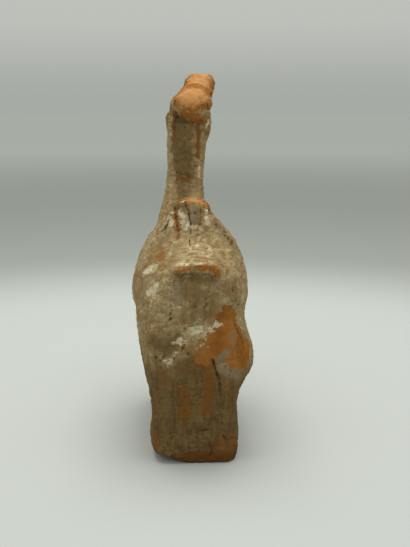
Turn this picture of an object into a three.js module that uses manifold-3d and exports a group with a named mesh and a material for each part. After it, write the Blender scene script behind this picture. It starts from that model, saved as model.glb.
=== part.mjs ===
// A terracotta camel with two humps, standing square with its head raised, pressed as one piece
// with its slab. Each pair of legs is joined by a web of clay, with an open arch under the belly.
// Millimetres, +Z up. The camel faces -Y and its left side is +X. It is modelled around its own
// mid plane and then moved, so that the middle of its footprint box is the origin.
import * as THREE from "three";
import { mergeVertices } from "three/addons/utils/BufferGeometryUtils.js";
import Module from "manifold-3d";

// Driving dimensions
const slab = { halfWidth: 33.3, front: -83, back: 82.5, height: 12, corner: 9, bevel: 1.5 };
const wear = { length: 34, rise: 9, rounding: 7 }; // at the slab's rubbed corner
const legX = 22.6; // middle of each foot from the mid plane
const toeCleft = { reach: 9, top: 15, width: 9, depth: 1.6 };
const head = { x: -4.6, y: -93, z: 268.8, pitch: 20.5, turn: 12.5 };
const ruff = { locks: 3, x: -3.2, reach: 17, back: -99, top: 266, bottom: 237, spacing: 8 };
const beard = { locks: 9, length: 2.2, width: 17, thickness: 6.5, flare: 4 };
const crest = { locks: 12, sidesPerLock: 4, relief: 0.12 }; // hair around each hump's tuft
const rearTuft = { x: 0.5, y: 24, top: 199, lean: -1 };
const frontTuft = { x: 3, y: -33, top: 190, lean: 4 };
const tailSize = { half: 17.6, top: 151, bottom: 108, depth: 6, back: 88.2, bevel: 3 };
const bodyLean = 0.04; // the humps lean to the camel's right by this share of their height
const trunkMesh = { sides: 26, stepsPerRow: 2 };
const headMesh = { sides: 16, stepsPerRow: 2 };
const legMesh = { sides: 16, stepsPerRow: 1 };
const legSquareness = 2.2;
const webSquareness = 3;
const clay = { color: 0xa9805c, roughness: 0.9, metalness: 0 };

const xAxis = new THREE.Vector3(1, 0, 0);
const yAxis = new THREE.Vector3(0, 1, 0);
const zAxis = new THREE.Vector3(0, 0, 1);
const degree = Math.PI / 180;

// Trunk and neck as one form along a bent spine, from the rump to under the skull.
// x, y, z of the spine, half width, depth above and below it, squareness of the section,
// and the spine's climb in degrees.
const trunkRows = [
  [0, 85.6, 124, 16, 26, 8, 2.6, 0],
  [0, 84, 124, 25, 31, 13, 2.6, 0],
  [0, 78, 123, 32.5, 35.5, 21, 2.5, 0],
  [0.8, 70, 122, 38, 38.5, 27, 2.3, 0],
  [1.3, 60, 122, 41.2, 41.5, 31, 2.2, 0],
  [1.6, 51, 122, 42.6, 46.5, 32, 2.1, 0],
  [1.6, 43, 122, 43.8, 54, 31, 2, 0],
  [1.1, 34, 121, 45, 63, 30, 1.9, 0],
  [1.2, 24, 121, 46.4, 68, 30, 1.88, 0],
  [1.2, 13, 121, 47.1, 63, 30, 1.9, 0],
  [1.2, 4, 121, 47.4, 54.5, 31, 2, 0],
  [1.2, -5, 121, 47.4, 50, 32, 2.1, 0],
  [1.2, -15, 121, 47, 54, 34, 2, 0],
  [1.4, -25, 121, 46.2, 61, 36, 1.95, 0],
  [1.8, -35, 121, 45, 62.5, 37, 1.95, 0],
  [2, -45, 121.5, 43.2, 56, 38, 2, 0],
  [1.6, -55, 124, 40.6, 48, 40, 2, 2],
  [1.5, -66, 131, 37, 40, 40, 2, 13],
  [2, -78, 143, 31.5, 33, 38, 2, 30],
  [2.5, -89, 160, 25.4, 26, 33, 2, 49],
  [2, -98, 181, 19.6, 20.8, 27, 2, 68],
  [0.2, -104, 202, 17, 18.2, 22, 2.1, 82],
  [-0.8, -107, 221, 17.2, 18, 20, 2.2, 88],
  [-1.4, -108, 237, 18.2, 18, 20, 2.2, 90],
  [-3.2, -110, 250, 19.4, 17.5, 20, 2.2, 92],
  [-4.6, -113, 261, 19, 15, 18, 2.2, 98],
  [-5.4, -116, 270, 14.5, 9.5, 13, 2, 104],
];

// Skull with its upper jaw, and the lower jaw, along the head's own axis from back to lips.
// Distance along, drop of the middle, half width, depth above and below, squareness.
const skullRows = [
  [-6.5, 0, 4, 4, 5, 2],
  [-3.5, 0, 11.6, 9, 12, 2],
  [3, 0, 15.4, 12.6, 17, 2.2],
  [14, 0, 16, 14, 17, 2.3],
  [25, 0, 15, 14.2, 14, 2.3],
  [33, 0, 13.2, 11.6, 10, 2.3],
  [41, 0, 12.8, 10.4, 7, 2.4],
  [50, 0, 14.6, 11.4, 6, 2.8],
  [57, 0, 15, 12, 6, 3],
  [62, 0, 12.6, 9.4, 5, 2.8],
  [64, 0, 8, 5, 3, 2.4],
];
const jawRows = [
  [2, 8, 11, 4, 9, 2.2],
  [12, 9, 13, 8, 13, 2.2],
  [24, 7, 12, 8, 12.4, 2.2],
  [36, 5, 10.4, 6, 10.4, 2.3],
  [50, 4, 11.4, 4, 9, 2.6],
  [58, 4, 10.4, 3, 8, 2.6],
  [61, 4, 6, 2, 4, 2.4],
];

// Upright forms: height, x, y, half width, depth towards the tail and towards the head.
const hindLegRows = {
  left: [
    [8, 22, 60, 10.4, 18, 17],
    [15, legX, 60, 12.4, 20, 21],
    [25, legX, 62, 12, 17, 17],
    [35, 22.4, 66, 10.6, 13, 12],
    [46, 22.6, 68, 11.4, 13, 12],
    [58, 23, 67, 12.8, 17, 14],
    [70, 23, 63, 15.8, 20, 21],
    [84, 23.5, 57, 18, 27, 29],
    [98, 24, 53, 19.8, 31, 32],
    [114, 23.2, 52, 21.6, 31, 30],
    [130, 20, 51, 21, 26, 25],
    [144, 15, 50, 13, 16, 16],
  ],
  right: [
    [8, -22, 60, 10.4, 18, 17],
    [15, -legX, 60, 12.2, 20, 21],
    [25, -legX, 62, 11.2, 17, 17],
    [35, -22.4, 66, 10.4, 13, 12],
    [46, -22, 68, 11, 13, 12],
    [56, -22.4, 67, 12, 17, 14],
    [65, -23.8, 64, 16.4, 20, 20],
    [75, -26, 59, 20.2, 25, 27],
    [85, -26, 56, 20.4, 28, 30],
    [97, -23.6, 53, 18.6, 31, 32],
    [114, -20.5, 52, 18, 31, 30],
    [130, -18, 51, 17.6, 26, 25],
    [144, -15, 50, 13, 16, 16],
  ],
};
const foreLegRows = [
  [8, 22, -62, 10.2, 17, 17],
  [15, legX, -63, 12.2, 19, 19],
  [25, legX, -62, 11.6, 16, 16],
  [35, 22.4, -61, 10, 12, 12],
  [46, 22.6, -61, 10.6, 12.5, 13],
  [57, 23, -60, 12, 13.5, 16],
  [70, 23, -59, 12.6, 16, 15],
  [86, 23, -58, 16, 21, 19],
  [102, 23, -58, 19, 25, 22],
  [120, 21, -58, 18, 24, 21],
  [136, 17, -58, 13, 16, 15],
];

// The clay left between each pair of legs. The hind web swells into the seat, below the tail.
const hindWebRows = [
  [4, 0, 62, 20, 16.4, 12],
  [34, 0, 62, 20, 15.4, 12],
  [64, 0, 62, 20, 15.4, 13],
  [75, 0, 61, 22, 18.4, 16],
  [86, 0, 60, 25, 23, 20],
  [100, 0, 59, 26, 25.4, 24],
  [114, 0, 58, 26, 27, 22],
  [122, 0, 58, 22, 26, 18],
];
const frontWebRows = [
  [4, 0, -60, 20, 12, 12],
  [34, 0, -60, 20, 10, 10],
  [72, 0, -60, 20, 11, 11],
  [96, 0, -60, 20, 17, 17],
];

// The lip of the croup over the tail, from its left end to its lower right end: x, y, z, radius.
const lipRows = [
  [19.5, 80, 148.4, 1.5],
  [14.5, 83.5, 152, 3.6],
  [3, 85.4, 153.4, 4.2],
  [-11, 85.4, 153.4, 4.4],
  [-18, 84, 151.4, 4.2],
  [-20.6, 80, 144, 1.5],
];

// Where the beard grows, from the throat down to the chest.
const beardRoute = [
  [-3, -125, 254],
  [-1, -127, 228],
  [0.5, -125, 203],
  [2, -121, 180],
  [2.3, -113, 156],
  [2, -101, 133],
];

// Geometry helpers

// A round or squarish loop. up and down are its depths on each side of the centre.
function ring(centre, across, outward, half, up, down, power, sides, fluting = () => 1) {
  const points = [];
  for (let i = 0; i < sides; i++) {
    const angle = (2 * Math.PI * i) / sides;
    const c = Math.cos(angle);
    const s = Math.sin(angle);
    const u = Math.sign(c) * Math.abs(c) ** (2 / power) * half;
    const v = Math.sign(s) * Math.abs(s) ** (2 / power) * (s > 0 ? up : down);
    const scale = fluting(angle);
    const point = centre.clone().addScaledVector(across, u * scale);
    points.push(point.addScaledVector(outward, v * scale));
  }
  return points;
}

// A closed skin through a row of loops, with each end closed to its own middle.
function loft(loops) {
  const sides = loops[0].length;
  const last = (loops.length - 1) * sides;
  const points = loops.flat();
  const index = [];
  for (let row = 0; row < last; row += sides) {
    for (let i = 0; i < sides; i++) {
      const next = (i + 1) % sides;
      index.push(row + i, row + next, row + sides + next);
      index.push(row + i, row + sides + next, row + sides + i);
    }
  }
  for (const loop of [loops[0], loops[loops.length - 1]]) {
    const middle = new THREE.Vector3();
    loop.forEach((point) => middle.addScaledVector(point, 1 / sides));
    points.push(middle);
  }
  for (let i = 0; i < sides; i++) {
    const next = (i + 1) % sides;
    index.push(next, i, points.length - 2);
    index.push(last + i, last + next, points.length - 1);
  }
  const geometry = new THREE.BufferGeometry().setFromPoints(points);
  geometry.setIndex(index);
  return geometry;
}

// Rows of numbers read as smooth curves, three columns to a curve.
function smoothRows(rows, stepsPerRow) {
  const columns = rows[0].length;
  const curves = [];
  for (let first = 0; first < columns; first += 3) {
    const points = rows.map((row) => {
      return new THREE.Vector3(row[first], row[first + 1] ?? 0, row[first + 2] ?? 0);
    });
    curves.push(new THREE.CatmullRomCurve3(points));
  }
  const steps = (rows.length - 1) * stepsPerRow;
  const stations = [];
  for (let step = 0; step <= steps; step++) {
    stations.push(curves.flatMap((curve) => curve.getPoint(step / steps).toArray()));
  }
  return stations;
}

const wasm = await Module();
wasm.setup();

function toSolid(geometry) {
  const bare = geometry.clone();
  bare.deleteAttribute("normal");
  bare.deleteAttribute("uv");
  const merged = mergeVertices(bare, 1e-4);
  const vertProperties = merged.attributes.position.array;
  const triVerts = new Uint32Array(merged.index.array);
  const solid = new wasm.Manifold(new wasm.Mesh({ numProp: 3, vertProperties, triVerts }));
  if (solid.volume() > 0) return solid;
  const turned = triVerts.slice().reverse();
  return new wasm.Manifold(new wasm.Mesh({ numProp: 3, vertProperties, triVerts: turned }));
}

function toGeometry(solid) {
  const mesh = solid.getMesh();
  const geometry = new THREE.BufferGeometry();
  geometry.setAttribute("position", new THREE.BufferAttribute(mesh.vertProperties, 3));
  geometry.setIndex(new THREE.BufferAttribute(mesh.triVerts, 1));
  return geometry;
}

function upright(rows, { sides, stepsPerRow }, squareness, fluting) {
  const loops = smoothRows(rows, stepsPerRow).map((values) => {
    const [z, x, y, half, back, front] = values;
    const centre = new THREE.Vector3(x, y, z);
    return ring(centre, xAxis, yAxis, half, back, front, squareness, sides, fluting);
  });
  return toSolid(loft(loops));
}

// A lock of hair lying on a surface, widest near its root and pointed at its tip.
function lock(root, tip, surfaceNormal, width, thickness) {
  const along = tip.clone().sub(root);
  const across = new THREE.Vector3().crossVectors(along, surfaceNormal).normalize();
  const outward = new THREE.Vector3().crossVectors(across, along).normalize();
  const profile = [
    [0, 0.45],
    [0.15, 0.9],
    [0.45, 1],
    [0.75, 0.75],
    [1, 0.15],
  ];
  const loops = profile.map(([t, size]) => {
    const centre = root.clone().addScaledVector(along, t);
    const half = (width / 2) * size;
    return ring(centre, across, outward, half, thickness * size, thickness * size, 2, 8);
  });
  return toSolid(loft(loops));
}

// Body

function trunkAndNeck() {
  const loops = smoothRows(trunkRows, trunkMesh.stepsPerRow).map((values) => {
    const [x, y, z, half, above, below, squareness, climb] = values;
    const outward = zAxis.clone().applyAxisAngle(xAxis, -climb * degree);
    outward.x = -bodyLean * Math.max(outward.z, 0);
    const centre = new THREE.Vector3(x, y, z);
    return ring(centre, xAxis, outward, half, above, below, squareness, trunkMesh.sides);
  });
  return toSolid(loft(loops));
}

// Locks that fan out from the top of a hump and sink into its flanks.
function tuft({ x, y, top, lean }) {
  const rows = [
    [top - 35, x * 0.6, y, 27, 16, 16],
    [top - 27, x * 0.7, y, 28, 20, 20],
    [top - 19, x * 0.8, y, 22.6, 17.5, 17.5],
    [top - 12, x, y, 15.8, 13.5, 13.5],
    [top - 5, x + lean * 0.3, y, 13.4, 11.4, 11.4],
    [top - 1.4, x + lean * 0.8, y, 9.5, 8.2, 8.2],
    [top, x + lean, y, 3, 3, 3],
  ];
  const { locks, sidesPerLock, relief } = crest;
  const fluting = (angle) => 1 + relief * (Math.abs(Math.cos((locks * angle) / 2)) - 0.6);
  return upright(rows, { sides: locks * sidesPerLock, stepsPerRow: 1 }, 2, fluting);
}

// The broad short tail, pressed flat against the rump.
function tail() {
  const { half, top, bottom, depth, back, bevel } = tailSize;
  const side = half - bevel;
  const outline = new THREE.Shape();
  outline.moveTo(-side, top);
  outline.lineTo(side, top);
  outline.lineTo(side, bottom + side);
  outline.quadraticCurveTo(side * 0.9, bottom, 0, bottom);
  outline.quadraticCurveTo(-side * 0.9, bottom, -side, bottom + side);
  const geometry = new THREE.ExtrudeGeometry(outline, {
    depth,
    bevelThickness: bevel,
    bevelSize: bevel,
    bevelSegments: 3,
    curveSegments: 4,
  });
  geometry.rotateX(Math.PI / 2);
  geometry.translate(0, back - bevel, 0);
  return toSolid(geometry);
}

function croupLip() {
  const loops = lipRows.map(([x, y, z, radius]) => {
    return ring(new THREE.Vector3(x, y, z), yAxis, zAxis, radius, radius, radius, 2, 8);
  });
  return toSolid(loft(loops));
}

// Head

// The head's own axes: forward along the muzzle, to its left, and up through the crown.
const headForward = new THREE.Vector3(0, -1, 0)
  .applyAxisAngle(xAxis, -head.pitch * degree)
  .applyAxisAngle(zAxis, -head.turn * degree);
const headLeft = new THREE.Vector3().crossVectors(zAxis, headForward).normalize();
const headUp = new THREE.Vector3().crossVectors(headForward, headLeft);

function onHead(forward, left, up) {
  return new THREE.Vector3(head.x, head.y, head.z)
    .addScaledVector(headForward, forward)
    .addScaledVector(headLeft, left)
    .addScaledVector(headUp, up);
}

function headForm(rows) {
  const loops = smoothRows(rows, headMesh.stepsPerRow).map((values) => {
    const [forward, drop, half, above, below, squareness] = values;
    const centre = onHead(forward, 0, -drop);
    return ring(centre, headLeft, headUp, half, above, below, squareness, headMesh.sides);
  });
  return toSolid(loft(loops));
}

function ears() {
  return [1, -1].map((side) => {
    const root = onHead(12, 12 * side, 5);
    const tip = onHead(-3, 17.6 * side, -2);
    return lock(root, tip, headUp, 12, 4.5);
  });
}

function eyes() {
  return [1, -1].map((side) => {
    const root = onHead(20, 13.4 * side, 5);
    const tip = onHead(31, 11.4 * side, 4);
    return lock(root, tip, headLeft.clone().multiplyScalar(side), 7, 2.6);
  });
}

function nostrils() {
  return [1, -1].map((side) => {
    const root = onHead(65, 5 * side, 4);
    const tip = onHead(55, 9 * side, 11);
    return lock(root, tip, headUp, 3.6, 3);
  });
}

// Hair that stands out behind each cheek, in locks that hang side by side.
function ruffLocks() {
  const { x, reach, back, top, bottom, spacing } = ruff;
  const locks = [];
  for (const side of [1, -1]) {
    const outward = new THREE.Vector3(side, 0.3, 0).normalize();
    for (let i = 0; i < ruff.locks; i++) {
      const y = back - i * spacing;
      const root = new THREE.Vector3(x + reach * side, y, top - i);
      const tip = new THREE.Vector3(x + (reach - 1) * side, y - 3, bottom + i);
      locks.push(lock(root, tip, outward, spacing * 1.9, spacing / 2));
    }
  }
  return locks;
}

function beardLocks() {
  const { width, thickness, flare } = beard;
  const route = new THREE.CatmullRomCurve3(beardRoute.map((row) => new THREE.Vector3(...row)));
  const locks = [];
  for (let i = 0; i < beard.locks; i++) {
    const start = i / beard.locks;
    const end = Math.min((i + beard.length) / beard.locks, 1);
    const forward = new THREE.Vector3().crossVectors(xAxis, route.getTangent(start)).normalize();
    const tip = route.getPoint(end).addScaledVector(forward, flare);
    locks.push(lock(route.getPoint(start), tip, xAxis, width, thickness));
  }
  return locks;
}

// Feet and slab

function toeClefts() {
  const { reach, top, width, depth } = toeCleft;
  const clefts = [];
  for (const rows of [hindLegRows.left, foreLegRows]) {
    const [, , y, , , front] = rows[1];
    for (const side of [1, -1]) {
      const root = new THREE.Vector3(legX * side, y - front + reach, slab.height + top);
      const tip = new THREE.Vector3(legX * side, y - front - reach / 2, slab.height - 1);
      clefts.push(lock(root, tip, xAxis, width, depth));
    }
  }
  return clefts;
}

// The slab's lower edge is rubbed away at one back corner, on the camel's left.
function wornCorner() {
  const { halfWidth, back } = slab;
  const { length, rise, rounding } = wear;
  const sections = [
    [back - length, 0.02],
    [back - length / 3, 0.6],
    [back + 2, 1],
  ];
  const loops = sections.map(([y, share]) => [
    new THREE.Vector3(0, y, -1),
    new THREE.Vector3(halfWidth + 1, y, -1),
    new THREE.Vector3(halfWidth + 1, y, (rise + rounding) * share),
    new THREE.Vector3(halfWidth - 4, y, rise * share),
    new THREE.Vector3(halfWidth * 0.6, y, rise * share * 0.42),
  ]);
  return toSolid(loft(loops));
}

function base() {
  const { halfWidth, front, back, height, corner, bevel } = slab;
  const half = halfWidth - bevel;
  const near = front + bevel;
  const far = back - bevel;
  const outline = new THREE.Shape();
  outline.moveTo(half, near + corner);
  outline.absarc(half - corner, far - corner, corner, 0, Math.PI / 2, false);
  outline.absarc(corner - half, far - corner, corner, Math.PI / 2, Math.PI, false);
  outline.absarc(corner - half, near + corner, corner, Math.PI, 1.5 * Math.PI, false);
  outline.absarc(half - corner, near + corner, corner, 1.5 * Math.PI, 2 * Math.PI, false);
  const geometry = new THREE.ExtrudeGeometry(outline, {
    depth: height - 2 * bevel,
    bevelThickness: bevel,
    bevelSize: bevel,
    bevelSegments: 2,
    curveSegments: 5,
  });
  geometry.translate(0, 0, bevel);
  return toSolid(geometry);
}

function camel() {
  const mirrored = foreLegRows.map(([z, x, ...rest]) => [z, -x, ...rest]);
  const pieces = [
    trunkAndNeck(),
    tuft(rearTuft),
    tuft(frontTuft),
    tail(),
    croupLip(),
    headForm(skullRows),
    headForm(jawRows),
    ...ears(),
    ...eyes(),
    ...ruffLocks(),
    ...beardLocks(),
    upright(hindLegRows.left, legMesh, legSquareness),
    upright(hindLegRows.right, legMesh, legSquareness),
    upright(foreLegRows, legMesh, legSquareness),
    upright(mirrored, legMesh, legSquareness),
    upright(hindWebRows, legMesh, webSquareness),
    upright(frontWebRows, legMesh, webSquareness),
    base(),
  ];
  const cuts = [...nostrils(), ...toeClefts(), wornCorner()];
  return wasm.Manifold.union(pieces).subtract(wasm.Manifold.union(cuts));
}

const geometry = toGeometry(camel());
geometry.computeBoundingBox();
const middle = geometry.boundingBox.getCenter(new THREE.Vector3());
geometry.translate(-middle.x, -middle.y, -geometry.boundingBox.min.z);

const figure = new THREE.Mesh(geometry, new THREE.MeshStandardMaterial(clay));
figure.name = "camel";

const part = new THREE.Group();
part.add(figure);

export default part;
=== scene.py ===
import math

import bmesh
import bpy
import numpy as np
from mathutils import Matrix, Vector, noise
from mathutils.bvhtree import BVHTree


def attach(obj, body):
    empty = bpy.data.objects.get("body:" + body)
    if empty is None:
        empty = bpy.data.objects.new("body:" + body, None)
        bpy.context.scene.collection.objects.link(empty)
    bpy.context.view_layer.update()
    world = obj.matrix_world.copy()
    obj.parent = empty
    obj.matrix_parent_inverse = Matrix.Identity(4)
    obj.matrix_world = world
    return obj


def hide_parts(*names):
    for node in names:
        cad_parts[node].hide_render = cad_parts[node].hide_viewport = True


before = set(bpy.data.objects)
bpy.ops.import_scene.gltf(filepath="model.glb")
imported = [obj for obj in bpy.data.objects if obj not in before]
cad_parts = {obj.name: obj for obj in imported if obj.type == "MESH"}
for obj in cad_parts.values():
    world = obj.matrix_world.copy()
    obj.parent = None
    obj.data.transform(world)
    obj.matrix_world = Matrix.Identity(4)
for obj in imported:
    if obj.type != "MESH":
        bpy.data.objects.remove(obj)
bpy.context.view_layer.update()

# The figure faces -Y, so the camera stands behind it. Places on the figure are in millimetres.
mm = 0.001

cameraSetup = {
    "place": (0.0309, 0.7515, 0.273),
    "aim": (-0.0146, 0.0069, 0.128),
    "lens": 58.0,
    "sensor": 36.0,
}


def aimAt(thing, place, target):
    thing.location = place
    direction = Vector(target) - Vector(place)
    thing.rotation_euler = direction.to_track_quat("-Z", "Y").to_euler()


def makeCamera():
    data = bpy.data.cameras.new("photoCamera")
    data.lens = cameraSetup["lens"]
    data.sensor_width = cameraSetup["sensor"]
    data.clip_end = 20
    camera = bpy.data.objects.new("photoCamera", data)
    bpy.context.scene.collection.objects.link(camera)
    aimAt(camera, cameraSetup["place"], cameraSetup["aim"])
    bpy.context.scene.camera = camera


makeCamera()
print("camera set behind the figure")


# Shader maths is written as expressions on sockets.
class Wire:
    def __init__(self, tree, socket=None):
        self.tree = tree
        self.socket = socket

    def feed(self, target, value):
        if isinstance(value, Wire):
            self.tree.links.new(value.socket, target)
        elif isinstance(value, tuple) and len(value) == 3 and target.type == "RGBA":
            target.default_value = (*value, 1)
        else:
            target.default_value = value

    def node(self, kind, settings=None, sockets=None, out=0):
        made = self.tree.nodes.new("ShaderNode" + kind)
        for name, value in (settings or {}).items():
            setattr(made, name, value)
        for name, value in (sockets or {}).items():
            self.feed(made.inputs[name], value)
        return Wire(self.tree, made.outputs[out] if made.outputs else None)

    def maths(self, operation, *values):
        return self.node("Math", {"operation": operation}, dict(enumerate(values)))

    def __add__(self, other):
        return self.maths("ADD", self, other)

    def __sub__(self, other):
        return self.maths("SUBTRACT", self, other)

    def __mul__(self, other):
        return self.maths("MULTIPLY", self, other)

    def __truediv__(self, other):
        return self.maths("DIVIDE", self, other)

    def __radd__(self, other):
        return self.maths("ADD", other, self)

    def __rsub__(self, other):
        return self.maths("SUBTRACT", other, self)

    def __rmul__(self, other):
        return self.maths("MULTIPLY", other, self)

    def clamped(self):
        return self.node("Clamp", None, {"Value": self})

    def ramp(self, stops):
        made = self.node("ValToRGB", None, {"Fac": self})
        elements = made.socket.node.color_ramp.elements
        for index, (at, colour) in enumerate(stops):
            element = elements[index] if index < 2 else elements.new(at)
            element.position = at
            element.color = (*colour, 1)
        return made

    # rises from 0 at low to 1 at high
    def between(self, low, high):
        sockets = {"Value": self, "From Min": low, "From Max": high}
        return self.node("MapRange", {"interpolation_type": "SMOOTHSTEP"}, sockets)

    def mixed(self, first, second):
        return self.node("Mix", {"data_type": "RGBA"}, {0: self, 6: first, 7: second}, out=2)


def newMaterial(name):
    material = bpy.data.materials.new(name)
    material.use_nodes = True
    material.node_tree.nodes.clear()
    return material, Wire(material.node_tree)


def finishMaterial(wire, sockets):
    shader = wire.node("BsdfPrincipled", None, sockets)
    wire.node("OutputMaterial", None, {"Surface": shader})


# The voxel copy of the solid, which takes the fine modelling.
sculpt = {
    "voxel": 1.35,
    "passes": 52,
    "driftPasses": 77,
    "rate": 0.5,
}


def voxelCopy(source):
    mesh = source.data.copy()
    whole = bmesh.new()
    whole.from_mesh(mesh)
    bmesh.ops.remove_doubles(whole, verts=whole.verts, dist=1e-6)
    whole.to_mesh(mesh)
    whole.free()
    copy = bpy.data.objects.new("camelFigure", mesh)
    bpy.context.scene.collection.objects.link(copy)
    remesh = copy.modifiers.new("voxels", "REMESH")
    remesh.mode = "VOXEL"
    remesh.voxel_size = sculpt["voxel"] * mm
    remesh.use_smooth_shade = True
    graph = bpy.context.evaluated_depsgraph_get()
    fine = bpy.data.meshes.new_from_object(copy.evaluated_get(graph))
    copy.modifiers.clear()
    copy.data = fine
    fine.materials.clear()
    return copy


figure = voxelCopy(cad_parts["camel"])
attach(figure, "root")
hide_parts("camel")
count = len(figure.data.vertices)
print("voxel copy with", count, "points")


def readPoints():
    flat = np.empty(count * 3)
    figure.data.vertices.foreach_get("co", flat)
    return flat.reshape(-1, 3) / mm


def writePoints(points):
    figure.data.vertices.foreach_set("co", (points * mm).ravel())
    figure.data.update()


def normalsOf(points):
    writePoints(points)
    flat = np.empty(count * 3)
    figure.data.vertices.foreach_get("normal", flat)
    return flat.reshape(-1, 3)


def edgeEnds():
    flat = np.empty(len(figure.data.edges) * 2, dtype=int)
    figure.data.edges.foreach_get("vertices", flat)
    pairs = flat.reshape(-1, 2)
    starts = np.concatenate([pairs[:, 0], pairs[:, 1]])
    ends = np.concatenate([pairs[:, 1], pairs[:, 0]])
    return starts, ends


edgeStarts, edgeStops = edgeEnds()
neighbours = np.bincount(edgeStarts, minlength=count)


def neighbourMean(values):
    columns = []
    for column in values.reshape(count, -1).T:
        columns.append(np.bincount(edgeStarts, weights=column[edgeStops], minlength=count) / neighbours)
    return np.array(columns).T.reshape(values.shape)


def blurred(values, passes, rate=0.5):
    for step in range(passes):
        values = values + rate * (neighbourMean(values) - values)
    return values


def rise(values, low, high):
    t = np.clip((values - low) / (high - low), 0, 1)
    return t * t * (3 - 2 * t)


def within(points, centre, radius, soft=0.35):
    away = np.linalg.norm((points - np.array(centre)) / np.array(radius), axis=1)
    return 1 - rise(away, 1 - soft, 1 + soft)


# Where the solid's own edges stay crisp: centre, radii and share kept.
crispPlaces = {
    "rearTuft": [(-1, 56, 190), (24, 24, 22), 0.85],
    "frontTuft": [(2, -1, 180), (24, 24, 22), 0.8],
    "tail": [(-1, 117, 132), (21, 8, 26), 0.7],
    "head": [(-9, -86, 276), (24, 36, 26), 0.8],
    "ruffs": [(-5, -74, 250), (26, 18, 18), 0.8],
    "beard": [(0, -92, 195), (15, 18, 72), 0.8],
    "slab": [(-1, 32, 0), (60, 110, 17), 0.7],
    "foreFeet": [(-1, -30, 14), (40, 24, 22), 0.7],
    "hindFeet": [(-1, 92, 14), (40, 26, 20), 0.5],
}


def softened(points):
    keep = np.zeros(count)
    for centre, radius, share in crispPlaces.values():
        keep = np.maximum(keep, share * within(points, centre, radius))
    rate = (sculpt["rate"] * (1 - keep) ** 2.2)[:, None]
    soft = points
    for step in range(sculpt["passes"]):
        soft = soft + rate * (neighbourMean(soft) - soft)
    drift = blurred(points - soft, sculpt["driftPasses"])
    return soft + drift


points = softened(readPoints())
print("facets softened")


# Soft pushes that bring the softened form to the real one: centre, radii, push.
swells = {
    "webBetweenLegs": [(-1, 108, 40), (9, 12, 44), (0, 1.2, 0)],
    "tailFoot": [(-1, 121, 106), (20, 8, 12), (0, -1.6, 0)],
    "tuftUndercut": [(-17, 60, 179), (5, 12, 8), (-1.6, 0.6, 0.4)],
    "muzzleWaist": [(-26, -82, 284), (8, 16, 12), (-2.6, 0, 0)],
    "muzzleTopLeft": [(-11, -112, 300), (8, 12, 7), (1.2, 0, 1.2)],
    "muzzleTopRight": [(-27, -112, 297), (7, 12, 7), (-1.2, 0, 1.4)],
    "slabChip": [(30, 116, 0), (26, 14, 9), (0, -1.0, 2.4)],
    "slabCorner": [(-33, 112, 3), (10, 14, 10), (2.5, 0, 0)],
}


def pushed(points):
    for centre, radius, push in swells.values():
        away = np.linalg.norm((points - np.array(centre)) / np.array(radius), axis=1)
        share = np.clip(1 - away * away, 0, 1) ** 2
        points = points + share[:, None] * np.array(push)
    return points


points = pushed(points)
normals = normalsOf(points)
figureTree = BVHTree.FromObject(figure, bpy.context.evaluated_depsgraph_get())


# A place given by two numbers is (x, z) seen from behind; one of three is the nearest skin.
besideRear = 80


def onSkin(place):
    if len(place) == 2:
        found = figureTree.ray_cast(Vector((place[0], 400, place[1])) * mm, Vector((0, -1, 0)))[0]
        place = (place[0], besideRear, place[1])
    else:
        found = None
    if found is None:
        found = figureTree.find_nearest(Vector(place) * mm)[0]
    return np.array(found) / mm


def routeOnSkin(places, step=0.7):
    anchors = [onSkin(place) for place in places]
    if len(anchors) == 1:
        return np.array(anchors)
    ends = [2 * anchors[0] - anchors[1], *anchors, 2 * anchors[-1] - anchors[-2]]
    route = []
    for a, b, c, d in zip(ends, ends[1:], ends[2:], ends[3:]):
        steps = max(int(np.linalg.norm(c - b) / step), 1)
        for i in range(steps + 1):
            t = i / steps
            place = 0.5 * (
                2 * b + (c - a) * t + (2 * a - 5 * b + 4 * c - d) * t**2 + (3 * b - a - 3 * c + d) * t**3
            )
            route.append(onSkin(tuple(place)))
    return np.array(route)


# Distance of each point to a route, looked up only near it.
def awayFrom(route, reach):
    away = np.full(count, 1e3)
    low = route.min(0) - reach
    high = route.max(0) + reach
    near = np.nonzero(((points > low) & (points < high)).all(1))[0]
    if len(near):
        gaps = points[near][:, None, :] - route[None, :, :]
        away[near] = np.sqrt((gaps**2).sum(2).min(1))
    return away


def noiseField(size, octaves=4, seed=0.0, roughness=0.6):
    shift = Vector((seed * 17.3, seed * 9.1, seed * 5.7))
    drop = -math.log2(roughness)
    return np.array([noise.fractal(Vector(q) / size + shift, drop, 2, octaves) for q in points.tolist()])


jagged = noiseField(5, 4, 1, 0.7)
drifting = noiseField(16, 3, 2)
grainy = noiseField(2.6, 3, 3, 0.7)
cloudy = noiseField(34, 3, 4)
print("noise fields ready")

# How far each point stands out of the skin around it, and how much it faces the photo's side.
standsOut = ((points - blurred(points, 40)) * normals).sum(1)
facesBack = normals @ np.array((0.04, 0.97, 0.22))
hiddenSide = 1 - rise(facesBack, -0.1, 0.3)

height = np.zeros(count)
cavity = np.zeros(count)
crackAndCreaseShade = np.zeros(count)
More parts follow.
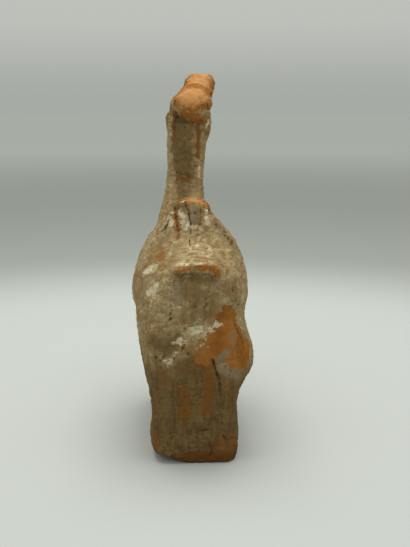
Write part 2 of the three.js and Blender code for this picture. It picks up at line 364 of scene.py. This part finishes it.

# Strokes on the skin: route, half width, height (below 0 it is cut in), share of dark soil and painted
# shade.
strokes = {
    "tuftLobeLeft": [[(7, 192), (7, 184), (7, 178)], 4.4, 1.1, 0],
    "tuftLobeRight": [[(-3, 192), (-3, 186), (-3, 180)], 3.6, 0.8, 0],
    "tuftLobeOuter": [[(-12, 190), (-12, 184), (-11, 178)], 4.2, 1.3, 0],
    "tuftLobeFar": [[(15, 58, 188), (15, 64, 182), (15, 68, 177)], 3.2, 1.2, 0],
    "tuftRidge": [[(14, 62, 187), (18, 64, 183), (23, 64, 176)], 2.4, 1.2, 0],
    "tuftGrooveLeft": [[(13, 58, 191), (12, 65, 185), (12, 71, 180), (10, 74, 175)], 2.2, -1.4, 0.1],
    "tuftGrooveRight": [[(-7.5, 191), (-7.3, 184), (-6.6, 179), (-4, 175)], 2.0, -1.3, 0.1],
    "tuftDiagonal": [[(17, 64, 184), (19, 66, 180), (24, 66, 174)], 1.6, -1.4, 0.3],
    "tuftFoot": [[(7, 174), (3, 175)], 1.6, -0.6, 0.5],
    "seam": [
        [(5, 62, 197), (3, 67, 191), (2, 69, 187), (1, 74, 180), (1, 78, 173), (2, 83, 168)],
        1.3, -0.9, 0,
    ],
    "napeGroove": [[(-11, 257), (-11, 241), (-10, 226), (-8, 210)], 2.4, -0.8, 0.1],
    "napeLeft": [[(8, 255), (8.3, 247), (9, 238)], 1.8, -0.8, 0.4],
    "capEdge": [[(2, 255), (-2, 255), (-7, 253)], 1.4, -0.5, 0.3],
    "neckLedge": [[(8, 210), (2, 208), (-7, 205)], 1.7, -0.9, 0.35],
    "neckPad": [[(8, 213), (1, 211.5), (-7, 209)], 2.6, 0.7, 0],
    "ruffRightOne": [[(-17, 249), (-16, 238)], 1.3, -0.8, 0.35],
    "ruffRightTwo": [[(-20, 262), (-22, 254), (-18.5, 243)], 1.2, -0.9, 0.5],
    "ruffLeftOne": [[(12, 261), (13.5, 251), (12, 240)], 1.3, -0.8, 0.5],
    "earLeft": [[(6, -63, 277), (8.6, -64, 274), (9, -62, 268)], 1.3, -0.9, 0.4],
    "earRight": [[(-20.6, -56, 272), (-22, -55, 266)], 1.4, -1.0, 0.6],
    "lipEdge": [
        [
            (12, 120, 152), (6, 120, 154), (-2, 121, 155.4),
            (-10, 121, 155.4), (-16, 120, 153), (-18, 119, 148),
        ],
        2.1, 2.2, 0,
    ],
    # the recess under the lip, with a little painted shade
    "shadedUnderLip": [[(11, 148.8), (1, 149.2), (-8, 149), (-14, 147)], 2.8, -2.1, 0.1],
    "tailRim": [[(16.6, 150), (17.6, 138), (16.4, 124)], 1.3, 1.0, 0],
    "tailInside": [[(14.4, 148), (15.0, 138), (14.0, 126)], 1.5, -0.8, 0.2],
    "lowFold": [[(8, 114), (0, 113), (-8, 119)], 2.2, 0.8, 0],
    "lowCrease": [[(9, 111.4), (0, 110.4), (-9, 116.4)], 1.2, -0.6, 0.3],
    "thighOuter": [[(-30, 112), (-36, 99), (-39, 88)], 1.8, -0.8, 0.4],
    "crevice": [[(-14, 81), (-16, 72), (-18, 64), (-18.6, 58)], 2.6, -2.0, 0.4],
    "flankCrease": [[(-30, 157), (-36, 152), (-41, 147)], 1.4, -0.8, 0.3],
    "footCrack": [[(-4, 24.4), (-10, 24.8)], 1.2, -0.8, 0],
    "slabHole": [[(-12.6, 14), (-13.4, 10), (-12, 7)], 2.0, -2.2, 0.9],
    "leftLegGroove": [[(20, 56), (19, 40), (20, 24)], 2.8, -0.8, 0.1],
    "rightLegGroove": [[(-25, 56), (-27, 42), (-26, 28)], 2.6, -0.8, 0.15],
    "toeLeft": [[(9, 21), (5, 17), (4, 13)], 2.4, -1.0, 0.3],
    "toeRight": [[(-22, 20), (-26, 17), (-30, 19)], 1.6, -0.7, 0.3],
    "webSeam": [[(8, 76), (7, 60), (9, 30)], 1.8, -0.6, 0.15],
}

# Thin dark lines of cracks, with painted shade along creases and edges: route, half width of the dark
# line, how far it fades in and out along its way.
cracks = {
    "seamTop": [[(5, 62, 197), (3, 67, 191), (2, 69, 187), (1, 73, 181)], 0.1, 0.1],
    "seamMiddle": [[(1, 73, 181), (1, 78, 173), (2, 83, 168), (1.4, 88, 164)], 0.05, 0.05],
    "tuftDiagonal": [[(17, 64, 184), (19, 66, 180), (24, 66, 174)], 0.1, 0.3],
    "earRight": [[(-20.6, -56, 272), (-22, -55, 266), (-21, -60, 263)], 0.0, 0.8],
    "thighOuter": [[(-31, 109), (-36, 99), (-39, 90)], 0.0, 0.7],
    "creviceTop": [[(-14, 81), (-15.6, 75), (-16.6, 69)], 0.4, 0.4],
    "creviceLow": [[(-16, 74), (-18.6, 68), (-19.6, 61)], 0.1, 0.9],
    "shoulderOne": [[(-18, 180), (-24, 176), (-29, 170)], -0.2, 1.1],
    "flank": [[(-33, 156), (-37, 151), (-41, 147)], -0.2, 0.9],
    "footCrack": [[(-4, 24.6), (-10, 24.8)], 0.3, 0.3],
    "toeRight": [[(-22, 21), (-25, 17), (-30, 18)], -0.1, 0.9],
    "legRightEdge": [[(-33, 54), (-33.6, 44), (-32.6, 36)], -0.1, 0.9],
    "tailEdge": [[(18, 117, 139), (18, 117, 130), (17, 117, 125)], -0.1, 0.8],
    "flankDark": [[(-33, 81, 155), (-36, 76, 152)], -0.1, 0.8],
    "foldLow": [[(9, 120, 116), (6, 120, 113)], -0.2, 0.8],
}
crackReach = 2.5


def drawStrokes():
    global height, cavity, crackAndCreaseShade
    for route, width, lift, soilAndShade in strokes.values():
        uneven = 0.75 + 0.9 * jagged
        away = awayFrom(routeOnSkin(route), width * 2.2) + 0.4 * width * jagged
        height = height + lift * uneven * (1 - rise(away, 0.1 * width, 1.15 * width))
        # cut strokes darkened with soil and painted shade
        cavity = cavity + soilAndShade * uneven * (1 - rise(away, 0.15 * width, 0.8 * width))
    for route, width, fading in cracks.values():
        away = awayFrom(routeOnSkin(route), crackReach * 2) + 0.5 * jagged
        share = 1 - (away - width) / crackReach - 0.6 * fading * np.maximum(drifting + 0.5 * grainy, 0)
        # dark lines in cracks, with painted shade along creases and edges
        crackAndCreaseShade = np.maximum(crackAndCreaseShade, np.clip(share, 0, 1))
        height = height - 0.5 * rise(share, 0.5, 1.0)


drawStrokes()
print("strokes drawn")

# Pits: place, spread, number; and those strewn over the whole skin.
pitting = {
    "places": {
        "rightShoulder": [(-27, 173), 9, 16],
        "rightFlank": [(-33, 165), 6, 10],
        "besideTail": [(-30, 137), 5, 5],
        "besideTailLow": [(-31, 126), 6, 6],
        "tailFoot": [(16, 116), 6, 8],
        "rump": [(-8, 126), 10, 8],
        "leftLow": [(26, 86), 9, 8],
        "middleLow": [(6, 88), 8, 8],
        "leftSide": [(39, 109), 1, 1],
    },
    "strewn": 170,
    "radius": (0.6, 1.5),
    "depth": (0.4, 1.1),
}


def punchPits():
    global height, cavity
    chance = np.random.default_rng(7)
    centres = []
    for place, spread, number in pitting["places"].values():
        middle = onSkin(place)
        for step in range(number):
            centres.append(onSkin(tuple(middle + chance.normal(0, spread * 0.5, 3))))
    crusty = np.nonzero(drifting > 0.05)[0]
    centres += [points[k] for k in chance.choice(crusty, pitting["strewn"])]
    for centre in centres:
        radius = chance.uniform(*pitting["radius"])
        depth = chance.uniform(*pitting["depth"])
        away = awayFrom(centre[None, :], radius * 2) + 0.5 * radius * jagged
        share = 1 - rise(away, 0.2 * radius, 1.2 * radius)
        height = height - depth * share
        # pits darkened with soil and painted shade
        cavity = cavity + 0.75 * share


punchPits()
print("pits punched")

# Paint: route, half width and strength of each patch.
patches = {
    "bare": {
        "thighOne": [[(-24, 117), (-27, 108), (-35, 92)], 7.5, 1],
        "thighTwo": [[(-19, 103), (-24, 92), (-31, 80)], 7.5, 1],
        "thighThree": [[(-13, 100), (-15, 90), (-12, 81)], 5, 1],
        "thighFour": [[(-6, 96), (-8, 89), (-3, 83)], 4.2, 0.8],
        "knee": [[(-40, 92), (-38, 84), (-34, 77)], 6, 1],
        "small": [[(11, 95), (8, 94)], 2.2, 0.8],
        "middle": [[(-4, 115, 91), (-9, 115, 94)], 2.2, 0.8],
        "lipLeft": [[(11, 119, 153), (8, 120, 154), (4, 121, 154)], 1.9, 0.9],
        "lipRight": [[(-3, 121, 154.6), (-10, 121, 155), (-16, 120, 153), (-17.4, 120, 149)], 2.5, 1],
        "humpTop": [[(2, 62, 198), (-6, 62, 198), (-11, 61, 195), (-15, 61, 189)], 3.0, 0.9],
        "humpTopLeft": [[(9, 62, 194), (5, 60, 198)], 2.4, 0.6],
        "humpLeftGroove": [[(13, 58, 191), (12, 65, 185), (10, 74, 175)], 1.5, 0.8],
        "humpRightGroove": [[(-7.4, 192), (-7, 183), (-4, 175)], 1.1, 0.55],
        "flankSpot": [[(26, 157), (23, 155.6)], 2.0, 0.55],
        "crown": [[(3, -62, 284), (-6, -60, 286), (-14, -60, 284)], 12, 1],
        "crownFront": [[(0, -72, 288), (-10, -74, 290), (-18, -72, 286)], 12, 1],
        "crownBack": [[(4, -60, 274), (-6, -56, 272), (-16, -58, 273)], 9, 1],
        "poll": [[(0, 262), (-8, 260), (-13, 258)], 5, 0.9],
        "muzzle": [[(-13, -88, 291), (-17, -108, 298), (-20, -118, 296)], 16, 1],
    },
    "rust": {
        "napeStrip": [[(-12.6, 262), (-12.6, 250), (-12.6, 238), (-11.8, 224)], 2.8, 1],
        "napeEdge": [[(-1, 258), (-8, 256), (-12, 254)], 3, 0.7],
        "napeLeft": [[(8, 256), (8.4, 247), (9, 238)], 2.4, 0.7],
        "neckSpot": [[(6, 206), (3, 205), (-1, 204.6)], 2.8, 1],
        "strip": [[(-10, 84), (-11, 72), (-11, 58), (-10, 42)], 4.5, 0.85],
        "webLeft": [[(9, 57), (7, 48), (7, 38)], 5.5, 0.9],
        "webLeftLow": [[(11, 36), (9, 30)], 3.4, 0.6],
        "mid": [[(2, 90), (-4, 84), (2, 76)], 6, 0.45],
        "leftLegInner": [[(26, 74), (20, 68), (14, 72)], 6, 0.5],
        "web": [[(-2, 70), (-3, 46), (3, 36)], 6, 0.35],
        "legLeftEdge": [[(31, 56), (31, 38), (32, 26)], 2.6, 0.7],
        "legRightEdge": [[(-34, 56), (-34, 38), (-35, 24)], 2.6, 0.8],
        "foot": [[(-20, 14), (-28, 16)], 7, 0.6],
        "slabBack": [[(30, 4), (16, 3), (0, 3), (-16, 3), (-34, 4)], 6, 0.95],
        "slabCorner": [[(30, 10), (31, 20)], 4, 0.8],
        "slabCornerRight": [[(-26, 6), (-33, 12)], 7, 0.8],
        # painted shade: a brown darkening along the left outline, where the side turns from the light
        "shadedRimLeft": [[(38, 165), (44, 150), (45, 130), (42, 112)], 4, 0.5],
        "humpRed": [[(-3, 175), (-4, 173)], 2.4, 0.7],
        "tuftFootLeft": [[(10, 176), (11, 171)], 2.4, 0.6],
        "aboveThigh": [[(-20, 122), (-26, 121)], 3, 0.5],
    },
    # dust and painted light: the crown, muzzle, hump top and lip painted paler where light falls on their
    # upturned faces
    "dustAndLight": {
        "muzzle": [[(-13, -88, 291), (-17, -108, 298), (-20, -118, 296)], 12, 0.7],
        "crown": [[(3, -62, 284), (-6, -60, 286), (-14, -60, 284)], 9, 0.8],
        "crownBack": [[(-2, -55, 276), (-8, -54, 275)], 8, 0.9],
        "humpTop": [[(2, 62, 198), (-5, 62, 197), (-12, 62, 193)], 4, 0.8],
        "lip": [[(9, 153), (-4, 154), (-14, 153)], 2, 0.35],
        "thigh": [[(-30, 104), (-34, 92)], 6, 0.15],
    },
    "worn": {
        "ruffRight": [[(-19, 260), (-21, 252), (-18, 242)], 2.6, 0.5],
        "tuftLeft": [[(8, 62, 196), (11, 62, 190), (12, 71, 180)], 4, 0.8],
        "tuftRight": [[(-6, 62, 197), (-12, 62, 193), (-9, 70, 184)], 4, 0.6],
        "leftFlank": [[(26, 157), (20, 154)], 5, 0.6],
        "rumpMiddle": [[(0, 120), (5, 114)], 6, 0.4],
        "lipAbove": [[(-18, 157), (-20, 150)], 3, 0.4],
        "besideThigh": [[(-14, 112), (-10, 118)], 4, 0.5],
        "mid": [[(2, 90), (-4, 84), (2, 76)], 6, 0.5],
    },
    "pale": {
        "thighOne": [[(-12, 107), (-16, 110), (-21, 107)], 2.8, 1],
        "thighTwo": [[(1, 106), (-5, 108)], 3.6, 0.7],
        "small": [[(15, 97), (11, 96)], 2, 0.8],
        "flankOne": [[(37, 144), (32, 149)], 4.4, 0.7],
        "flankTwo": [[(34, 132), (29, 138)], 3.0, 0.9],
        "flankThree": [[(33, 127), (28, 132)], 1.6, 0.9],
        "tuftOne": [[(8, 189), (6, 183), (4, 178)], 2.8, 0.85],
        "tuftTwo": [[(-12, 189), (-12, 181)], 2.8, 0.8],
        "tuftThree": [[(15, 58, 187), (15, 67, 178)], 1.8, 0.7],
        "tuftRidge": [[(14, 62, 187), (18, 64, 183), (23, 64, 176)], 1.4, 0.7],
        "tuftFour": [[(0, 178), (-6, 177.4)], 1.4, 0.9],
        "tuftTop": [[(8, 62, 195), (5, 62, 197)], 1.5, 0.9],
        # pale crust with painted highlight along the top of the lip's ledge
        "lipLeft": [[(10, 112, 156), (5, 117, 157)], 1.5, 0.8],
        "lipRight": [[(-2, 119, 157), (-7, 118, 157.6), (-12, 119, 157)], 1.5, 0.9],
        # painted highlights on the muzzle top and the crown
        "muzzleHighlight": [[(-12, -90, 296), (-15, -96, 299)], 3, 0.5],
        "crownHighlight": [[(-9, -52, 280)], 1.6, 0.9],
        "napeFleck": [[(0, 246), (-1, 243)], 3, 0.4],
        "neckEdge": [[(-13.4, 216), (-13.4, 206)], 1.2, 0.8],
        "ruffEdge": [[(-17.4, 249), (-16.4, 239)], 1.0, 0.8],
        "ruffLock": [[(-23, 257), (-19, 247)], 1.2, 0.9],
        "ruffLeft": [[(13, 258), (12.4, 244)], 1.8, 0.6],
        "legSpot": [[(23, 84), (19, 80)], 3.4, 0.45],
        "seamFoot": [[(3, 164), (-1, 162)], 2.4, 0.5],
        "backOne": [[(12, 166), (20, 160)], 3, 0.35],
        "backTwo": [[(-8, 165), (-16, 163)], 3, 0.3],
        "backStrokeOne": [[(5, 99, 161), (1, 93, 163)], 1.2, 0.8],
        "backStrokeTwo": [[(19, 92, 159), (13, 90, 163)], 1.2, 0.7],
        "backStrokeThree": [[(0, 91, 164), (-6, 85, 167)], 1.2, 0.7],
        "backStrokeFour": [[(0, 104, 160), (-11, 101, 160), (-15, 94, 161)], 1.1, 0.7],
        "flankFour": [[(33, 107, 128), (29, 111, 135)], 1.2, 0.8],
        "flankFive": [[(34, 92, 146), (28, 94, 152)], 2, 0.6],
        "belowTail": [[(14, 120, 125), (8, 120, 127)], 1.2, 0.7],
        "fold": [[(8, 120, 111), (2, 120, 112), (-4, 120, 115)], 1.0, 0.6],
        "crustRow": [[(16, 114, 97), (11, 115, 99), (6, 115, 97)], 1.2, 0.9],
        "crustBits": [[(0, 115, 91), (-4, 115, 93), (-7, 115, 95)], 1.0, 0.9],
        "crustThigh": [[(-11, 115, 103), (-14, 115, 108), (-20, 114, 110)], 3.0, 1],
        "crustLeft": [[(20, 115, 80), (17, 114, 83), (14, 114, 88)], 1.3, 0.7],
        "webRim": [[(13, 112, 60), (11, 108, 61), (8, 109, 60)], 0.9, 0.8],
    },
    "grey": {
        "thigh": [[(-19, 83), (-23, 87)], 3.2, 0.9],
        "thighBrown": [[(-29, 102), (-31, 90)], 4, 0.5],
        "low": [[(-25, 74), (-33, 70)], 5, 0.7],
        "tailPatch": [[(14, 141), (12.5, 130)], 3.6, 0.6],
        "tuft": [[(-3, 190), (-3, 182)], 3.0, 0.9],
        "tuftHollow": [[(4.6, 184), (4.6, 181)], 1.8, 0.7],
        "low2": [[(-3, 97), (-9, 92)], 3, 0.45],
    },
    "grimeAndShade": {
        # darker on the nape
        "nape": [[(1, 250), (1, 231), (1, 212)], 12, 0.95],
        "thighDeep": [[(-18, 104), (-17, 94), (-20, 86)], 5, 0.9],
        "neckLow": [[(4, 203), (7, 194)], 7, 0.9],
        # painted shadow under the lip's ledge
        "shadedUnderLip": [[(9, 147), (-12, 145)], 5, 1],
        # darker on the tail panel below the lip
        "tail": [[(2, 138), (-6, 128)], 12, 0.65],
        "leftThigh": [[(31, 97), (23, 92), (15, 97)], 7, 1],
        "leftThighLow": [[(30, 84), (24, 76)], 8, 0.8],
        "rump": [[(5, 118), (-14, 122)], 7, 0.5],
        "flankHollow": [[(38, 138), (40, 128)], 4, 0.5],
        "rightShoulder": [[(-22, 177), (-31, 165)], 6, 0.6],
        "rightFlank": [[(-30, 138), (-31, 126)], 5, 0.6],
        "tuftFoot": [[(8, 173), (1, 174)], 3, 0.6],
        "backLeft": [[(18, 172), (24, 166)], 5, 0.5],
    },
}

patchEdges = {"bare": 1.2, "rust": 2.6, "dustAndLight": 6, "worn": 4, "pale": 1.8, "grey": 2.4, "grimeAndShade": 7}


def paintLayer(name):
    edge = patchEdges[name]
    cover = np.zeros(count)
    for route, width, strength in patches[name].values():
        wander = (1.2 * jagged + 0.7 * drifting) * (1.2 + 0.2 * width)
        away = awayFrom(routeOnSkin(route, 1.5), width * 2 + edge + 4) + wander
        cover = np.maximum(cover, strength * (1 - rise(away, width - edge, width + edge)))
    return cover


paint = {name: paintLayer(name) for name in patches}

# Wear and darkening that follow the form: edges rubbed, hollows darkened with soil and painted shade, and
# the low parts darker towards the bottom.
wearing = {
    "lowDarkening": (40, 114),
    "edgeWorn": (0.35, 1.5),
    "edgeBare": (0.75, 1.25),
    "hollowSoilAndShade": (0.15, 1.1),
    "slabDeep": (7, 15),
}
# darker towards the bottom
lowness = 1 - rise(points[:, 2] + 22 * cloudy + 8 * drifting, *wearing["lowDarkening"])
rubbed = rise(standsOut + 0.5 * jagged, *wearing["edgeWorn"])
rubbedBare = rise(standsOut + 0.9 * drifting + 0.5 * jagged, *wearing["edgeBare"])
rubbedBare = rubbedBare * (0.25 + 0.75 * hiddenSide)
paint["grimeAndShade"] = np.maximum(0.75 * paint["grimeAndShade"], lowness)
# hollows darkened with soil and painted shade
paint["grimeAndShade"] = np.clip(paint["grimeAndShade"] + 0.5 * rise(-standsOut, *wearing["hollowSoilAndShade"]), 0, 1)
paint["worn"] = np.clip(paint["worn"] + 0.5 * rubbed, 0, 1)
paint["bare"] = np.maximum(paint["bare"], 0.9 * rubbedBare)
print("patches painted")

# Ground relief: crust of slip and soil, smooth where the clay is bare.
relief = {
    "crust": 0.4,
    "ripple": 0.34,
    "grain": 0.22,
    "slipStep": 0.35,
    "paleStep": 0.3,
    "sunk": 0.62,
}
crust = rise(jagged, -0.1, 0.25) + 0.6 * rise(drifting, 0.0, 0.2)
ground = relief["crust"] * crust + relief["ripple"] * jagged + relief["grain"] * grainy
slipShare = 1 - rise(paint["bare"], 0.3, 0.6)
height += ground * (0.25 + 0.75 * slipShare) + relief["slipStep"] * slipShare
height += relief["paleStep"] * paint["pale"] * (0.5 + jagged) - relief["sunk"]

points = points + normals * height[:, None]
points[:, 2] = np.maximum(points[:, 2], 0)
normals = normalsOf(points)
# painted shade and soil in the hollows of the relief
hollow = blurred(height, 6) - height
cavity = np.clip(cavity + 0.8 * rise(hollow, 0.12, 0.6), 0, 1)
print("relief raised")


def writeLayer(name, values):
    layer = figure.data.attributes.new(name, "FLOAT", "POINT")
    layer.data.foreach_set("value", values)


for name, cover in paint.items():
    writeLayer(name, cover)
writeLayer("cavity", cavity)
writeLayer("crackAndCreaseShade", crackAndCreaseShade)
writeLayer("deep", 1 - rise(points[:, 2] + 3 * drifting, *wearing["slabDeep"]))

# Fired clay under worn slip and soil, with painted shade in hollows, creases and under the lip, and
# painted light on lit tops
clayPaint = {
    "clay": (0.36, 0.135, 0.020),
    "clayPale": (0.66, 0.32, 0.115),
    "clayLight": (0.46, 0.20, 0.055),
    "clayBrown": (0.22, 0.082, 0.012),
    "rust": (0.215, 0.088, 0.016),
    "rustDeep": (0.13, 0.047, 0.006),
    "slipThin": (0.30, 0.165, 0.06),
    "slipBrown": (0.32, 0.215, 0.095),
    "slip": (0.42, 0.30, 0.145),
    "slipPale": (0.58, 0.455, 0.26),
    "crust": (0.78, 0.67, 0.47),
    "grimeAndShade": (0.175, 0.105, 0.034),
    "grimeAndShadeDark": (0.09, 0.050, 0.015),
    "grey": (0.25, 0.205, 0.125),
    "soilAndShade": (0.07, 0.037, 0.013),
}


def terracottaMaterial():
    material, wire = newMaterial("terracotta")
    place = wire.node("TexCoord", out=3)
    brushing = {"Vector": place, "Rotation": (0, 0.5, 0), "Scale": (1, 1, 2.4)}
    brushed = wire.node("Mapping", None, brushing)
    running = wire.node("Mapping", None, {"Vector": place, "Scale": (1, 1, 0.28)})

    def noiseAt(size, detail=3.0, roughness=0.6, distortion=0.0, vector=place):
        sockets = {"Scale": 1 / size, "Detail": detail, "Roughness": roughness, "Distortion": distortion}
        return wire.node("TexNoise", None, {"Vector": vector, **sockets}) - 0.5

    def layer(name):
        return wire.node("Attribute", {"attribute_name": name}, out=2)

    broad = noiseAt(0.024, 2)
    swirl = noiseAt(0.0088, 3, 0.58, 1.6)
    streak = noiseAt(0.0066, 4, 0.6, 1.2, brushed)
    runs = noiseAt(0.0044, 3, 0.55, 0.5, running)
    fine = noiseAt(0.0026, 4, 0.68, 0.8)
    grain = noiseAt(0.0011, 2, 0.6)
    bare = layer("bare")
    rust = layer("rust")
    worn = layer("worn")
    pale = layer("pale")
    grimeAndShade = layer("grimeAndShade")

    clay = (broad * 0.9 + swirl * 0.9 + fine * 0.3 + 0.5).ramp(
        [(0.22, clayPaint["clayBrown"]), (0.5, clayPaint["clay"]), (0.8, clayPaint["clayLight"])]
    )
    # paler clay for dust and painted light on lit tops
    dustedAndLit = (layer("dustAndLight") + streak * 1.2 + fine * 0.6).between(0.15, 0.95)
    clay = dustedAndLit.mixed(clay, clayPaint["clayPale"])
    # bare clay darkened with grime and painted shade
    clay = (grimeAndShade * 0.5 + swirl * 0.6).clamped().mixed(clay, clayPaint["clayBrown"])
    cover = 0.47 + broad * 0.55 + swirl * 0.85 + streak * 1.0 + fine * 0.6 + grain * 0.2
    cover = cover + pale * 0.2 - worn * 0.36
    slip = cover.ramp(
        [
            (0.04, clayPaint["clay"]),
            (0.20, clayPaint["slipThin"]),
            (0.36, clayPaint["slipBrown"]),
            (0.52, clayPaint["slip"]),
            (0.72, clayPaint["slipPale"]),
            (0.95, clayPaint["crust"]),
        ]
    )
    crusty = (pale + streak * 1.0 + fine * 1.6).between(0.4, 0.75)
    slip = (crusty * 0.8).mixed(slip, clayPaint["crust"])
    # slip darkened with grime and painted shade
    soiledAndShaded = grimeAndShade * 1.1 + swirl * 1.1 + streak * 0.9 + runs * 1.2 + fine * 0.5 + broad * 0.5
    soiledAndShaded = soiledAndShaded - crusty * 0.5
    patchy = (fine * 0.4 + streak * 0.5 + runs).between(-0.2, 0.14)
    dirtAndShade = patchy.mixed(clayPaint["grimeAndShadeDark"], clayPaint["grimeAndShade"])
    slip = (soiledAndShaded.between(0.15, 0.9) * 0.9).mixed(slip, dirtAndShade)
    rusty = (rust + swirl * 0.9 + streak * 0.5 + fine * 0.5).between(0.3, 0.8)
    rustTone = layer("deep").mixed(clayPaint["rust"], clayPaint["rustDeep"])
    slip = (rusty * 0.9).mixed(slip, rustTone)
    edge = (bare + swirl * 0.9 + fine * 0.9 - crusty * 0.4).between(0.44, 0.58)
    colour = edge.mixed(slip, clay)
    stained = (layer("grey") + swirl * 0.8 + fine * 0.8).between(0.25, 0.85)
    colour = (stained * 0.8).mixed(colour, clayPaint["grey"])
    specks = (grain + fine * 0.6 - swirl * 0.4).between(0.13, 0.26) * (1 - edge * 0.7)
    # soil and painted shade in hollows and pits, and dark lines in cracks and creases
    soilAndShade = (layer("cavity") + fine * 0.9).between(0.2, 0.95)
    cut = (layer("crackAndCreaseShade") + fine * 0.15).between(0.72, 0.94)
    colour = (soilAndShade * 0.7 + specks * 0.4 + cut * 0.85).clamped().mixed(colour, clayPaint["soilAndShade"])

    lumps = swirl * 1.2 + streak * 0.5 + fine * 1.1 + grain * 0.4 - specks * 0.4 - edge * 0.25 - cut * 0.5
    bump = wire.node("Bump", None, {"Height": lumps, "Distance": 0.001, "Strength": 0.8})
    sockets = {"Base Color": colour, "Roughness": 0.9, "Specular IOR Level": 0.2, "Normal": bump}
    finishMaterial(wire, sockets)
    return material


figure.data.materials.append(terracottaMaterial())
print("terracotta finished")

# Studio: one wide floor with a painted pool of light, pale near the figure and darker further out, under
# a grey sky that brightens upwards.
studio = {
    "floorSize": 60,
    "floorNear": (0.62, 0.645, 0.625),
    "floorFar": (0.40, 0.42, 0.395),
    "floorFurthest": (0.745, 0.775, 0.745),
    "fadeNear": (0.42, 0.85),
    "fadeFar": (0.9, 4.5),
    "skyLow": (0.385, 0.405, 0.375),
    "skyHigh": (0.51, 0.53, 0.49),
    "skyTop": 0.10,
}


def makeFloor():
    sweep = bmesh.new()
    bmesh.ops.create_grid(sweep, x_segments=8, y_segments=8, size=studio["floorSize"] / 2)
    mesh = bpy.data.meshes.new("floor")
    sweep.to_mesh(mesh)
    sweep.free()
    floor = bpy.data.objects.new("floor", mesh)
    bpy.context.scene.collection.objects.link(floor)
    material, wire = newMaterial("floorPaintedLightPool")
    place = wire.node("TexCoord", out=3)
    reach = wire.node("VectorMath", {"operation": "LENGTH"}, {0: place}, out=1)
    # painted light: the floor is paler near the figure, as under a lamp's pool, and darker further out
    colour = reach.between(*studio["fadeNear"]).mixed(studio["floorNear"], studio["floorFar"])
    colour = reach.between(*studio["fadeFar"]).mixed(colour, studio["floorFurthest"])
    finishMaterial(wire, {"Base Color": colour, "Roughness": 0.85, "Specular IOR Level": 0.2})
    mesh.materials.append(material)


# place, aim, size, watts and colour of each lamp
lamps = {
    "keyAbove": [(0.0, -0.2, 1.5), (0, 0.05, 0.1), 1.2, 14.4, (1.0, 0.99, 0.97)],
    "fillBehind": [(0.25, 1.5, 0.8), (0, 0.1, 0.15), 1.0, 1.7, (1.0, 0.99, 0.98)],
}


def makeLamps():
    for name, (place, target, size, watts, colour) in lamps.items():
        data = bpy.data.lights.new(name, "AREA")
        data.size = size
        data.energy = watts
        data.color = colour
        lamp = bpy.data.objects.new(name, data)
        bpy.context.scene.collection.objects.link(lamp)
        aimAt(lamp, place, target)


def makeSky():
    world = bpy.data.worlds.new("studio")
    bpy.context.scene.world = world
    world.use_nodes = True
    tree = world.node_tree
    tree.nodes.clear()
    wire = Wire(tree)
    way = wire.node("TexCoord", out=0)
    rising = wire.node("SeparateXYZ", None, {"Vector": way}, out=2)
    colour = rising.between(0, studio["skyTop"]).mixed(studio["skyLow"], studio["skyHigh"])
    background = wire.node("Background", None, {"Color": colour})
    wire.node("OutputWorld", None, {"Surface": background})


makeFloor()
makeLamps()
makeSky()
bpy.context.scene.view_settings.view_transform = "Standard"
print("studio set")
